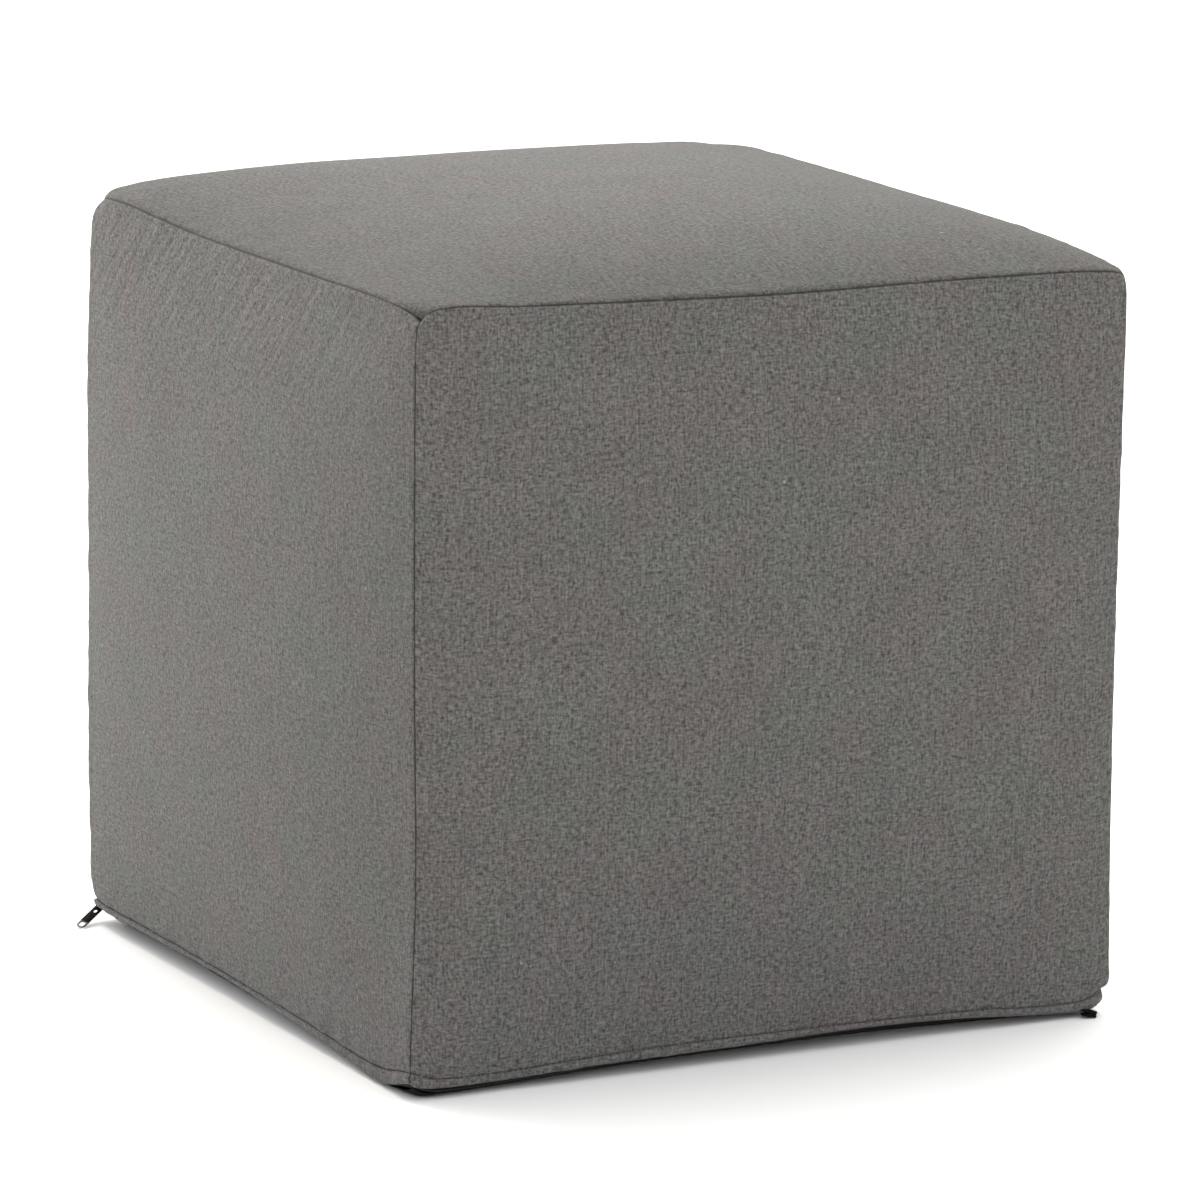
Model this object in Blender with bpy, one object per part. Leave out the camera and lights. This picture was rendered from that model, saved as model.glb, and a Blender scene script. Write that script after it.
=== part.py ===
"""Cube pouf stool: a soft cube of grey outdoor canvas, seamed along its edges, with a turned-up hem
round the bottom, a black base cloth it stands on, and a zip under the hem along two of its sides.

Metres, +Z up. The origin is on the floor under the middle of the stool. The front is -Y, and the
zip runs under the left side (-X) and the front, from the back left corner to the front right one.
"""

import math

import bmesh
import bpy
from mathutils import Matrix, Vector

# Cover: an 18 inch cube between its seams.
SEAM_HALF = 0.2285  # from the middle to each vertical seam
SEAM_TOP = 0.4567  # floor to the top seam
TOP_CROWN = 0.0261  # rise of the top panel over its seams
SIDE_BULGE = 0.01  # swell of each side panel over its seams
TOP_ROUNDING = 0.35  # below 1 a panel is steeper at its seams and flatter in the middle
SIDE_ROUNDING = 0.7
SIDE_HIGH = 0.2  # the side panels swell more above their middle than below it, by this share
PINCH_POWER = 30  # a pinched corner is pulled in over about 1/30 of the half width

# Hem: the lower edge of the side panels, turned up and stitched.
HEM_HEIGHT = 0.0055
HEM_PROUD = 0.0012  # stands out from the panel by this
STITCH_DEPTH = 0.0004
HEM_LIFT = 0.0058  # the hem rises by this between its corners
TOP_DRAWN_IN = 0.0041  # the top seam is pulled in by this between its corners
DRAWN_IN_POWER = 6  # how fast this fades down the side

# Each corner: sides on X and Y, hem height over the floor, how far the hem's own corner is pulled
# up, how far in from the hem the bottom is flat, how far the top corner is pulled in and down, and
# how far its upright seam stands out at the foot, a quarter, half, three quarters of the way up and
# at the top.
CORNERS = {
    "front_left": {"x": -1, "y": -1, "hem": 0.0042, "hem_pinch": 0.0088, "flat": 0.008,
                   "pinch": 0.0, "drop": -0.003,
                   "foot": 0.006, "low": 0.001, "middle": 0.0045, "high": 0.0065, "top": 0.0075},
    "front_right": {"x": 1, "y": -1, "hem": 0.0045, "hem_pinch": -0.0015, "flat": 0.010,
                    "pinch": 0.002, "drop": 0.0063,
                    "foot": 0.003, "low": 0.0017, "middle": 0.002, "high": 0.002, "top": 0.0035},
    "back_left": {"x": -1, "y": 1, "hem": 0.0078, "hem_pinch": 0.0, "flat": 0.016,
                  "pinch": 0.0055, "drop": 0.0,
                  "foot": -0.001, "low": 0.0004, "middle": 0.0003, "high": 0.0008, "top": -0.0009},
    "back_right": {"x": 1, "y": 1, "hem": 0.0072, "hem_pinch": 0.0, "flat": 0.010,
                   "pinch": 0.0039, "drop": 0.0011,
                   "foot": 0.0, "low": 0.0, "middle": 0.0, "high": 0.0, "top": -0.003},
}
SEAM_STATIONS = ("foot", "low", "middle", "high", "top")

# Base cloth: flat on the floor, its rim rising towards the hem.
CLOTH = 0.0012
GAP = 0.0003
FLAT_INSET_MIDDLE = 0.030  # from the hem to the flat part, in the middle of a side
BASE_INSET_ZIP = 0.0090  # from the hem to the rim, where the zip lies between them
BASE_INSET_SEWN = 0.0020  # and where the base is sewn to the hem
BASE_CORNER = 0.002  # more at a corner
BASE_SLACK = 0.70  # the base would rise to this share of the hem's height at the hem itself
BASE_RISE_POWER = 1.4
COVER_RISE = 2.0  # the cover's underside rises this much faster, to leave room for the zip
COVER_INSET_LEAST = 0.018  # and starts to rise at least this far in from the hem

# Zip tape, closed, with its coil.
TAPE_THICKNESS = 0.0016
TAPE_BELOW = 0.0010  # from the cover's underside down to the tape
TAPE_WIDTH = 0.0050
TAPE_INSET_FRONT = 0.0012
TAPE_INSET_LEFT = 0.0025
TAPE_END_LEFT = 0.0172  # the tape stops this short of the back left corner, for the slider
TAPE_END_FRONT = 0.0190  # and this short of the front right one

# Zip sliders, and the pull of the left one.
SLIDER_LENGTH = 0.0090
SLIDER_WIDTH = 0.0070
SLIDER_THICKNESS = 0.0032
SLIDER_NOSE = 0.6  # width of the narrow end, as a share of the wide one
SLIDER_EDGE = 0.0008
SLIDER_LEFT_AT = (-0.2222, 0.2155, 0.0052)
SLIDER_RIGHT_AT = (0.2170, -0.2335, 0.0023)
PULL_WIDTH = 0.0064
PULL_ROOT_WIDTH = 0.0040
PULL_THICKNESS = 0.0011
PULL_HOLE = 0.0011  # radius of the hole at the root
PULL_EYE_WIDTH = 0.0032  # the slot in the tip
PULL_EYE_LENGTH = 0.0060
PULL_RIM = 0.0016  # between the slot and the tip
PULL_ROOT_AT = (-0.2232, 0.2262, 0.0047)
PULL_TIP_AT = (-0.2431, 0.2103, 0.0010)

GRID_CUTS = 19
HEM_ROWS = 4  # grid rows up the side that form the hem and its stitched line


def pulled_up(x, y, t, column):
    """Sum over the corners of a column of CORNERS, each fading away from its own corner."""
    total = 0.0
    for corner in CORNERS.values():
        nearness = max(0.0, x * corner["x"]) * max(0.0, y * corner["y"]) * max(0.0, t)
        total += corner[column] * nearness**PINCH_POWER
    return total


def blended(x, y, column):
    """A column of CORNERS, blended across the plan."""
    return sum(
        corner[column] * (1 + x * corner["x"]) * (1 + y * corner["y"]) / 4
        for corner in CORNERS.values()
    )


def hem_bottom(x, y):
    """Height of the hem's lower edge: x, y run from -1 to 1 across the plan."""
    middle = 1 - (x * y) ** 2
    return blended(x, y, "hem") + HEM_LIFT * middle + pulled_up(x, y, 1.0, "hem_pinch")


def bulge(s, t, rounding):
    return max(0.0, (1 - s * s) * (1 - t * t)) ** rounding


def side_outset(s, t):
    """How far a side panel stands out from its seams, s along it and t up it, both -1 to 1."""
    drawn_in = TOP_DRAWN_IN * (1 - s * s) * ((1 + t) / 2) ** DRAWN_IN_POWER
    return SIDE_BULGE * bulge(s, t, SIDE_ROUNDING) * (1 + SIDE_HIGH * t) - drawn_in


def seam_outset(x, y, t):
    """How far the upright seams stand out at height t, blended across the plan: a smooth curve
    through the stations."""
    last = len(SEAM_STATIONS) - 1
    along = (t + 1) / 2 * last
    at = min(int(along), last - 1)
    share = along - at
    before, low, high, after = (
        blended(x, y, SEAM_STATIONS[min(max(at + step, 0), last)]) for step in (-1, 0, 1, 2)
    )
    bend = 2 * before - 5 * low + 4 * high - after + share * (3 * low - before - 3 * high + after)
    return low + share * (high - before + share * bend) / 2


def plan_point(x, y, t, outset=0.0):
    """Place in plan of a point at x, y, each -1 to 1, at height t, -1 to 1."""
    reach = SEAM_HALF + outset + seam_outset(x, y, t)
    return x * (reach + side_outset(y, t)), y * (reach + side_outset(x, t))


def rise(x, y, inset_least=0.0):
    """Share of the way out from the flat of the bottom to the hem."""
    out, along = max(abs(x), abs(y)), min(abs(x), abs(y))
    at_corner = max(inset_least, blended(x, y, "flat"))
    inset = at_corner + (FLAT_INSET_MIDDLE - at_corner) * (1 - along**2)
    flat_to = 1 - inset / SEAM_HALF
    return max(0.0, (out - flat_to) / (1 - flat_to))


def base_bottom(x, y):
    """Height of the base cloth's underside."""
    return BASE_SLACK * (hem_bottom(x, y) - CLOTH - GAP) * rise(x, y) ** BASE_RISE_POWER


def cover_bottom(x, y):
    """Height of the cover's underside: just over the base cloth, and level with the hem near it."""
    low = CLOTH + GAP
    share = min(1.0, COVER_RISE * rise(x, y, COVER_INSET_LEAST))
    return low + (hem_bottom(x, y) - low) * share


def grid_index(value):
    return round((value + 1) / 2 * (GRID_CUTS + 1))


def spread(value):
    """Crowds the grid towards the seams, where the panels curve most."""
    return math.sin(value * math.pi / 2) * 0.75 + value * 0.25


def side_row(row, x, y):
    """Height and outset of a grid row: the hem's edge, its face, its stitched line, then the panel."""
    low = hem_bottom(x, y)
    stitched = low + HEM_HEIGHT
    hem = (
        (low, 0.0),
        (low + 0.25 * HEM_HEIGHT, HEM_PROUD),
        (low + 0.75 * HEM_HEIGHT, HEM_PROUD),
        (stitched, -STITCH_DEPTH),
    )
    if row < HEM_ROWS:
        return (*hem[row], -1.0)
    last = GRID_CUTS + 1
    t = spread((row - HEM_ROWS + 1) / (last - HEM_ROWS + 1) * 2 - 1)
    return stitched + (SEAM_TOP - stitched) * (t + 1) / 2, 0.0, t


def cover_point(corner):
    """Where a point of the even grid on a cube from -1 to 1 goes on the filled cover."""
    x, y = spread(corner.x), spread(corner.y)
    row = grid_index(corner.z)
    if row == 0:
        px, py = plan_point(x, y, -1.0)
        return Vector((px, py, cover_bottom(x, y)))
    z, outset, t = side_row(row, x, y)
    px, py = plan_point(x, y, t, outset)
    pinch = pulled_up(x, y, t, "pinch")
    if row == GRID_CUTS + 1:
        z += TOP_CROWN * bulge(x, y, TOP_ROUNDING)
    z -= pinch + blended(x, y, "drop") * (t + 1) / 2
    return Vector((px - math.copysign(pinch, x), py - math.copysign(pinch, y), z))


def material(name, colour, roughness, metallic=0.0):
    made = bpy.data.materials.new(name)
    made.use_nodes = True
    shader = made.node_tree.nodes["Principled BSDF"]
    shader.inputs["Base Color"].default_value = (*colour, 1.0)
    shader.inputs["Roughness"].default_value = roughness
    shader.inputs["Metallic"].default_value = metallic
    return made


def finished(name, bm, surface):
    """Turns a bmesh into an object of the scene."""
    bmesh.ops.recalc_face_normals(bm, faces=bm.faces)
    mesh = bpy.data.meshes.new(name)
    bm.to_mesh(mesh)
    bm.free()
    mesh.materials.append(surface)
    mesh.shade_smooth()
    mesh.set_sharp_from_angle(angle=math.radians(40))
    made = bpy.data.objects.new(name, mesh)
    bpy.context.scene.collection.objects.link(made)
    return made


def cube_grid():
    """The faces of a cube from -1 to 1, each an even grid."""
    bm = bmesh.new()
    bmesh.ops.create_cube(bm, size=2)
    bmesh.ops.subdivide_edges(bm, edges=bm.edges[:], cuts=GRID_CUTS, use_grid_fill=True)
    return bm


def filled_cube(surface):
    """The seamed cover with its filling, one solid, with the hem round its foot."""
    bm = cube_grid()
    for vert in bm.verts:
        vert.co = cover_point(vert.co)
    return finished("filled_cube", bm, surface)


def base_panel(surface):
    """The black cloth that closes the bottom, under the cover's own bottom face."""
    bm = cube_grid()
    above = [face for face in bm.faces if face.calc_center_median().z > -0.999]
    bmesh.ops.delete(bm, geom=above, context="FACES")
    for vert in bm.verts:
        x, y = spread(vert.co.x), spread(vert.co.y)
        rim_x, rim_y = abs(x) > 0.999, abs(y) > 0.999
        rounded = BASE_CORNER if rim_x and rim_y else 0.0
        if rim_x:
            x *= 1 - ((BASE_INSET_ZIP if x < 0 else BASE_INSET_SEWN) + rounded) / SEAM_HALF
        if rim_y:
            y *= 1 - ((BASE_INSET_ZIP if y < 0 else BASE_INSET_SEWN) + rounded) / SEAM_HALF
        px, py = plan_point(x, y, -1.0)
        vert.co = (px, py, base_bottom(x, y))
    raised = bmesh.ops.extrude_face_region(bm, geom=bm.faces[:])
    top = [item for item in raised["geom"] if isinstance(item, bmesh.types.BMVert)]
    bmesh.ops.translate(bm, verts=top, vec=(0, 0, CLOTH))
    return finished("base_panel", bm, surface)


def swept(loops):
    """A closed bmesh through loops of four points each, capped at both ends."""
    bm = bmesh.new()
    rings = []
    for loop in loops:
        verts = [bm.verts.new(point) for point in loop]
        rings.append([bm.edges.new((verts[i], verts[(i + 1) % 4])) for i in range(4)])
    for ring, following in zip(rings, rings[1:]):
        bmesh.ops.bridge_loops(bm, edges=ring + following)
    for ring in (rings[0], rings[-1]):
        bmesh.ops.contextual_create(bm, geom=ring)
    return bm


def tape_section(x_out, y_out, x_in, y_in):
    """Four corners of the tape where its outer and inner edges have these places in plan."""
    section = []
    for x, y, below in (
        (x_out, y_out, TAPE_BELOW + TAPE_THICKNESS),
        (x_out, y_out, TAPE_BELOW),
        (x_in, y_in, TAPE_BELOW),
        (x_in, y_in, TAPE_BELOW + TAPE_THICKNESS),
    ):
        px, py = plan_point(x, y, -1.0)
        section.append((px, py, cover_bottom(x, y) - below))
    return section


def zip_tape(surface):
    """The closed zip, folded round the front left corner under the hem."""
    left, front = 1 - TAPE_INSET_LEFT / SEAM_HALF, 1 - TAPE_INSET_FRONT / SEAM_HALF
    left_in, front_in = left - TAPE_WIDTH / SEAM_HALF, front - TAPE_WIDTH / SEAM_HALF
    left_end, front_end = 1 - TAPE_END_LEFT / SEAM_HALF, 1 - TAPE_END_FRONT / SEAM_HALF
    lines = [spread(2 * i / (GRID_CUTS + 1) - 1) for i in range(1, GRID_CUTS + 1)]
    down = [left_end] + [line for line in reversed(lines) if line < left_end]
    across = [line for line in lines if line < front_end] + [front_end]
    loops = [tape_section(-left, y, -left_in, y) for y in down]
    loops.append(tape_section(-left, -front, -left_in, -front_in))
    loops.extend(tape_section(x, -front, x, -front_in) for x in across)
    return finished("zip_tape", swept(loops), surface)


def slider(name, surface, place, turn):
    """A zip slider lying flat, its wide end along +Y until it is turned about the vertical."""
    bm = bmesh.new()
    bmesh.ops.create_cube(bm, size=1)
    for vert in bm.verts:
        if vert.co.y < 0:
            vert.co.x *= SLIDER_NOSE
    bmesh.ops.scale(bm, vec=(SLIDER_WIDTH, SLIDER_LENGTH, SLIDER_THICKNESS), verts=bm.verts)
    bmesh.ops.bevel(bm, geom=bm.edges[:], offset=SLIDER_EDGE, offset_type="OFFSET",
                    affect="EDGES", segments=2, profile=0.5, material=-1)
    placed = Matrix.Translation(place) @ Matrix.Rotation(turn, 4, "Z")
    bmesh.ops.transform(bm, matrix=placed, verts=bm.verts)
    return finished(name, bm, surface)


def cutter(name, bm, placed):
    """A shape that is only there to be cut out of another."""
    mesh = bpy.data.meshes.new(name)
    bm.to_mesh(mesh)
    bm.free()
    made = bpy.data.objects.new(name, mesh)
    bpy.context.scene.collection.objects.link(made)
    made.matrix_world = placed
    made.hide_render = True
    made.display_type = "WIRE"
    return made


def zip_pull(surface):
    """The flat tab of the left slider, with a round hole at its root and a slot in its tip."""
    root, tip = Vector(PULL_ROOT_AT), Vector(PULL_TIP_AT)
    length = (tip - root).length
    along = (tip - root).normalized()
    across = along.cross(Vector((0, 0, 1))).normalized()
    turned = Matrix((across, along, across.cross(along))).transposed().to_4x4()
    placed = Matrix.Translation(root) @ turned
    half, root_half = PULL_WIDTH / 2, PULL_ROOT_WIDTH / 2
    outline = []
    for i in range(17):
        angle = math.pi * i / 16
        outline.append((half * math.cos(angle), length - half + half * math.sin(angle)))
    outline.append((-half, 4 * root_half))
    for i in range(9):
        angle = math.pi * (1 + i / 8)
        outline.append((root_half * math.cos(angle), root_half * math.sin(angle)))
    outline.append((half, 4 * root_half))
    bm = bmesh.new()
    face = bm.faces.new([bm.verts.new((x, y, -PULL_THICKNESS / 2)) for x, y in outline])
    raised = bmesh.ops.extrude_face_region(bm, geom=[face])
    top = [item for item in raised["geom"] if isinstance(item, bmesh.types.BMVert)]
    bmesh.ops.translate(bm, verts=top, vec=(0, 0, PULL_THICKNESS))
    made = finished("zip_pull", bm, surface)
    made.matrix_world = placed
    depth = 4 * PULL_THICKNESS
    hole = bmesh.new()
    bmesh.ops.create_cone(hole, cap_ends=True, segments=20, radius1=PULL_HOLE, radius2=PULL_HOLE,
                          depth=depth)
    slot = bmesh.new()
    bmesh.ops.create_cone(slot, cap_ends=True, segments=20, radius1=PULL_EYE_WIDTH / 2,
                          radius2=PULL_EYE_WIDTH / 2, depth=depth)
    stretch = (PULL_EYE_LENGTH - PULL_EYE_WIDTH) / 2
    for vert in slot.verts:
        vert.co.y += math.copysign(stretch, vert.co.y)
    bmesh.ops.translate(slot, verts=slot.verts, vec=(0, length - PULL_RIM - PULL_EYE_LENGTH / 2, 0))
    for name, shape in (("root_hole", hole), ("tip_slot", slot)):
        cut = made.modifiers.new(name, "BOOLEAN")
        cut.operation = "DIFFERENCE"
        cut.solver = "EXACT"
        cut.object = cutter(name, shape, placed)
    return made


def main():
    for left_over in list(bpy.data.objects):
        bpy.data.objects.remove(left_over, do_unlink=True)
    canvas = material("grey_canvas", (0.16, 0.15, 0.14), 0.9)
    black = material("black_cloth", (0.012, 0.012, 0.011), 0.85)
    zip_black = material("zip_black", (0.01, 0.01, 0.01), 0.5)
    zip_metal = material("zip_metal", (0.02, 0.02, 0.02), 0.35, 0.6)
    filled_cube(canvas)
    base_panel(black)
    zip_tape(zip_black)
    slider("zip_slider_left", zip_metal, Vector(SLIDER_LEFT_AT), 0.0)
    slider("zip_slider_right", zip_metal, Vector(SLIDER_RIGHT_AT), -math.pi / 2)
    zip_pull(zip_metal)


main()
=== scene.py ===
"""Cube pouf stool: a firm square floor stool in grey heathered outdoor canvas.

It is sewn along its edges, with a topstitched hem over a black base cloth and a black zip under the
hem of two sides.

Metres, +Z up, the floor at 0 and the front at -Y, as in the frame.
"""

import math

import bmesh
import bpy
from mathutils import Matrix, Vector, noise


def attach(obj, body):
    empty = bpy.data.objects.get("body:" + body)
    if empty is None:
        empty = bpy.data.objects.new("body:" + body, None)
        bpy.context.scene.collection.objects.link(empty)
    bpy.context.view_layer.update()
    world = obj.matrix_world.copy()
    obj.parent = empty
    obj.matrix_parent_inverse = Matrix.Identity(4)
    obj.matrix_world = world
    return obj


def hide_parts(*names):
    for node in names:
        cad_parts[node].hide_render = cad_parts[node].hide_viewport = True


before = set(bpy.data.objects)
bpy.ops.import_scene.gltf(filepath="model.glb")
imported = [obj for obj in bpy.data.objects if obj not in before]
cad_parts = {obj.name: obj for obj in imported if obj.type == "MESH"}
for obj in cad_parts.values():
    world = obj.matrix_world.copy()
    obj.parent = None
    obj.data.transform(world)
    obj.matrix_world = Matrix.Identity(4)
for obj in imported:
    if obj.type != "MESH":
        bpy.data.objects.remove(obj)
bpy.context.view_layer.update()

BODY = "root"

# ---- Sizes of the cover, in metres -------------------------------------------------------------

SEAM_HALF = 0.2285  # from the middle to each upright seam
SEAM_TOP = 0.4567  # floor to the top seam
TOP_CROWN = 0.0257  # how far the top swells over its seams
TOP_ROUNDING = (0.60, 0.32, 0.60, 0.32)  # towards the left, right, front and back
SIDE_BULGE = 0.0100  # how far the sides swell
SIDE_ROUNDING = 0.70
SIDE_HIGH = 0.20  # the sides swell more above their middle
TOP_DRAWN_IN = 0.0041  # how far the top seams are drawn in between their corners
DRAWN_IN_POWER = 6

# How far the top seam sags along each side: place along the side from -1 to 1, millimetres.
SEAM_SAG = {
    "left": ((-1, 0), (-0.82, 0.9), (-0.65, 1.6), (-0.4, 3.0), (-0.1, 3.8), (0.15, 4.3),
             (0.35, 4.0), (0.58, 2.2), (0.78, 0.2), (1, 0)),
    "front": ((-1, 0), (-0.93, -0.7), (-0.85, -0.6), (-0.77, 0.9), (-0.6, 2.0), (-0.4, 2.6),
              (-0.07, 3.3), (0.09, 2.9), (0.37, 0.9), (0.7, -0.6), (0.85, -1.0), (1, 0)),
    "right": ((-1, 0), (-0.9, -0.4), (-0.75, -1.6), (-0.55, -2.2), (-0.3, -1.3), (0, 0),
              (0.4, 0.3), (1, 0)),
    "back": ((-1, 0), (-0.9, -1.2), (-0.75, -2.0), (-0.55, -1.7), (-0.35, -0.2), (-0.1, 1.5),
             (0.1, 1.4), (0.4, 0.3), (1, 0)),
}
SAG_SPREAD = 6  # power by which a sag fades across the top
SAG_DOWN = 3  # and down the sides

# Each corner: sides on X and Y, how far in from the hem the bottom is flat, how far the top corner
# is pulled in and down, how fast this fades along X, along Y and down, how far the whole corner is
# dropped, and how far its upright seam stands out from foot to top. Then the tuck over the hem: its
# height, its depth, its half height, and how far the hem below it is drawn in.
CORNERS = {
    "front_left": {"x": -1, "y": -1, "flat": 0.008, "pinch": 0.0084, "fade": (36, 14, 30),
                   "drop": -0.0036, "seam": (0.006, 0.001, 0.0045, 0.0065, 0.0075),
                   "tuck": (0.016, 0.0006, 0.004, 0.0)},
    "front_right": {"x": 1, "y": -1, "flat": 0.010, "pinch": 0.002, "fade": (30, 30, 30),
                    "drop": 0.0063, "seam": (0.0034, 0.0023, 0.0022, 0.0028, 0.0036),
                    "tuck": (0.0155, 0.0020, 0.0028, 0.0040)},
    "back_left": {"x": -1, "y": 1, "flat": 0.016, "pinch": 0.0062, "fade": (24, 18, 30),
                  "drop": -0.0006, "seam": (-0.001, 0.0004, 0.0003, 0.0008, -0.0009),
                  "tuck": (0.020, -0.0010, 0.012, 0.0038)},
    "back_right": {"x": 1, "y": 1, "flat": 0.010, "pinch": 0.0039, "fade": (30, 30, 30),
                   "drop": 0.0011, "seam": (0.0, 0.0, 0.0, 0.0, -0.003),
                   "tuck": (0.016, 0.0012, 0.005, 0.0012)},
}
TUCK_SPREAD = 0.012  # how far along each side a tuck reaches

# Lower edge of the hem and its stitched line: place along the side from -1 to 1, height in mm.
HEM_EDGE = {
    "left": ((-1, 11.5), (-0.96, 9.6), (-0.91, 6.0), (-0.86, 3.4), (-0.8, 2.6), (-0.68, 4.6),
             (-0.55, 6.6), (-0.43, 8.0), (-0.3, 9.4), (-0.18, 10.3), (0, 11.2), (0.24, 11.9),
             (0.46, 11.6), (0.62, 11.4), (0.72, 10.9), (0.78, 9.8), (0.83, 10.1), (0.92, 10.0),
             (1, 9.7)),
    "front": ((-1, 11.5), (-0.975, 8.2), (-0.94, 6.9), (-0.9, 6.5), (-0.75, 6.6), (-0.6, 7.9),
              (-0.45, 8.8), (-0.13, 9.5), (0.27, 11.2), (0.5, 10.0), (0.67, 7.6), (0.8, 5.4),
              (0.93, 4.2), (0.965, 5.2), (0.985, 7.2), (1, 9.5)),
    "right": ((-1, 9.5), (-0.985, 6.6), (-0.96, 5.0), (-0.9, 4.6), (-0.6, 7.5), (0, 9.6),
              (0.6, 9.0), (1, 7.4)),
    "back": ((-1, 9.9), (-0.7, 9.6), (0, 10.2), (0.6, 9.2), (1, 7.4)),
}
STITCH_LINE = {
    "left": ((-1, 17.2), (-0.94, 15.2), (-0.88, 12.2), (-0.82, 10.6), (-0.7, 10.3), (-0.6, 11.1),
             (-0.43, 12.6), (-0.24, 13.7), (0.06, 14.4), (0.3, 14.9), (0.5, 14.8), (0.75, 14.6),
             (0.92, 14.0), (1, 14.6)),
    "front": ((-1, 17.2), (-0.97, 14.6), (-0.93, 12.0), (-0.88, 11.2), (-0.74, 11.1), (-0.6, 12.6),
              (-0.4, 14.0), (-0.13, 14.8), (0.27, 14.1), (0.5, 13.3), (0.63, 12.4), (0.8, 9.7),
              (0.92, 9.5), (0.965, 11.8), (1, 16.2)),
    "right": ((-1, 16.2), (-0.96, 12.4), (-0.9, 10.6), (-0.6, 12.8), (0, 14.8), (0.6, 14.2),
              (1, 13.0)),
    "back": ((-1, 14.6), (-0.9, 14.2), (0, 15.4), (0.6, 14.6), (1, 13.0)),
}
# Lower edge of what closes the bottom: the zip on the left and front, the base on the others.
ZIP_EDGE = {
    "left": ((-1, 8.0), (-0.95, 6.2), (-0.9, 3.8), (-0.85, 2.4), (-0.79, 1.9), (-0.67, 3.6),
             (-0.55, 5.8), (-0.43, 7.1), (-0.31, 8.3), (-0.18, 9.3), (0, 9.8), (0.2, 10.3),
             (0.33, 10.7), (0.46, 11.2), (0.6, 11.4), (0.73, 11.0), (0.8, 10.2), (0.87, 9.9),
             (0.92, 9.4), (1, 8.6)),
    "front": ((-1, 8.0), (-0.96, 4.8), (-0.93, 3.5), (-0.86, 3.2), (-0.75, 4.0), (-0.63, 4.8),
              (-0.4, 7.0), (-0.17, 7.6), (0.06, 8.0), (0.3, 9.0), (0.53, 8.2), (0.77, 6.0),
              (0.9, 3.3), (1, 3.2)),
    "right": ((-1, 3.2), (-0.9, 3.8), (0, 8.4), (1, 6.4)),
    "back": ((-1, 8.6), (0, 9.2), (1, 6.4)),
}

# Hem in section: share of its height, and how far it stands out from the seam line.
HEM_SECTION = ((0.0, 0.0002), (0.12, 0.0011), (0.45, 0.0014), (0.78, 0.0013), (0.92, 0.0007),
               (1.0, -0.0006))
ABOVE_STITCH = (0.0009, 0.0022, 0.0045, 0.0080, 0.0125, 0.0180)
FROM_SEAM = (0.0, 0.0012, 0.0026, 0.0046, 0.0075, 0.0115, 0.0170)
UNDER_HEM = (0.0, 0.0014, 0.0017, 0.0045, 0.0080, 0.0120, 0.0170)  # insets of the underside
HEM_INNER_WALL = 1  # the grid line where the hem's inside face starts, and the pocket after it
POCKET = 0.0042  # the pocket behind the hem rises this far over its lower edge
CELLS = 60
STITCH_ROW = len(HEM_SECTION) - 1

# Swelling by cloth simulation.
PRESSURE = 4.0
SETTLE_FRAMES = 20
MOST_MOVED = 0.008

# The finer shape: sizes in metres, and waves per metre.
CREASE_WIDTH = 0.00068
CREASE_DEPTH = 0.00035
STITCH_DEPTH = 0.0003
STITCH_DARK = 0.95  # as dark as this share of a seam
CREASE_BROKEN = 0.45  # the dark of a seam comes and goes by this share
CREASE_BREAKS = 240
SHOULDER = 0.0002
SHOULDER_AT = 0.0042
SHOULDER_WIDTH = 0.0030
HEM_WAVE = 0.0009
HEM_WAVES = Vector((110, 110, 60))
HEM_WAVES_UNDER = 0.026
PUCKER = 0.0004
PUCKERS = 95
PUCKER_REACH = 0.010
PUCKER_FROM = 0.0012
UNEVEN = 0.0006
UNEVEN_WAVES = 11
UNEVEN_FROM = 0.03
UNEVEN_START = Vector((3, 1, 7))

# Painted shade, standing in for how the light falls: how much darker the canvas is painted towards
# the seams of the top and over the left side, more towards its front; the back of the top is
# painted lighter.
TOP_PAINTED_SHADE = 0.32
TOP_SHADE_ROUNDING = (0.9, 0.7, 0.9, 0.0)  # towards the left, right, front and back
BACK_PAINTED_LIGHT = 0.045
# Painted shade on the left side: a little all over, more towards its front.
LEFT_PAINTED_SHADE = 0.09
LEFT_PAINTED_SHADE_ALL = 0.035
LEFT_PAINTED_SHADE_FROM = 0.1  # place along the side from -1 to 1
LEFT_PAINTED_SHADE_FULL = -0.75

# Drag lines on the left side, down from its top seam and back from its front seam.
DRAG_FROM = 0.006
DRAG_FULL = 0.012
DRAG_REACH = 0.125
DRAG_FRONT = -0.5

# Base cloth and zip.
CLOTH = 0.0008
UNDER_COVER = 0.0016  # height of the cover's flat underside
FLAT_INSET_MIDDLE = 0.028
BELLY_ROUNDING = 0.014  # radius of the bottom's corners in plan
BELLY_MOST = 1.1
BASE_RISE = 1.10
COVER_RISE = 2.2
COVER_INSET_LEAST = 0.018
BASE_INSET_ZIP = 0.0036
BASE_INSET_SEWN = 0.0022
TAPE_INSET = 0.0024
TAPE_THICKNESS = 0.0005
TAPE_HEIGHT = 0.0036
COIL_RADIUS = 0.00055
COIL_PITCH = 0.0014
COIL_HEIGHT = 0.0011
TAPE_END_LEFT = 0.0172
TAPE_END_FRONT = 0.0190
TAPE_TURN = 0.007  # radius of the tape's turn round the front left corner
TAPE_STEPS = 150  # along each side
TURN_STEPS = 12

# Stitches of the hem.
STITCH_PITCH = 0.0035
STITCH_LENGTH = 0.0029
STITCH_WIDTH = 0.00055
STITCH_HEIGHT = 0.00060
STITCH_LIFT = 0.00008

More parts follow.
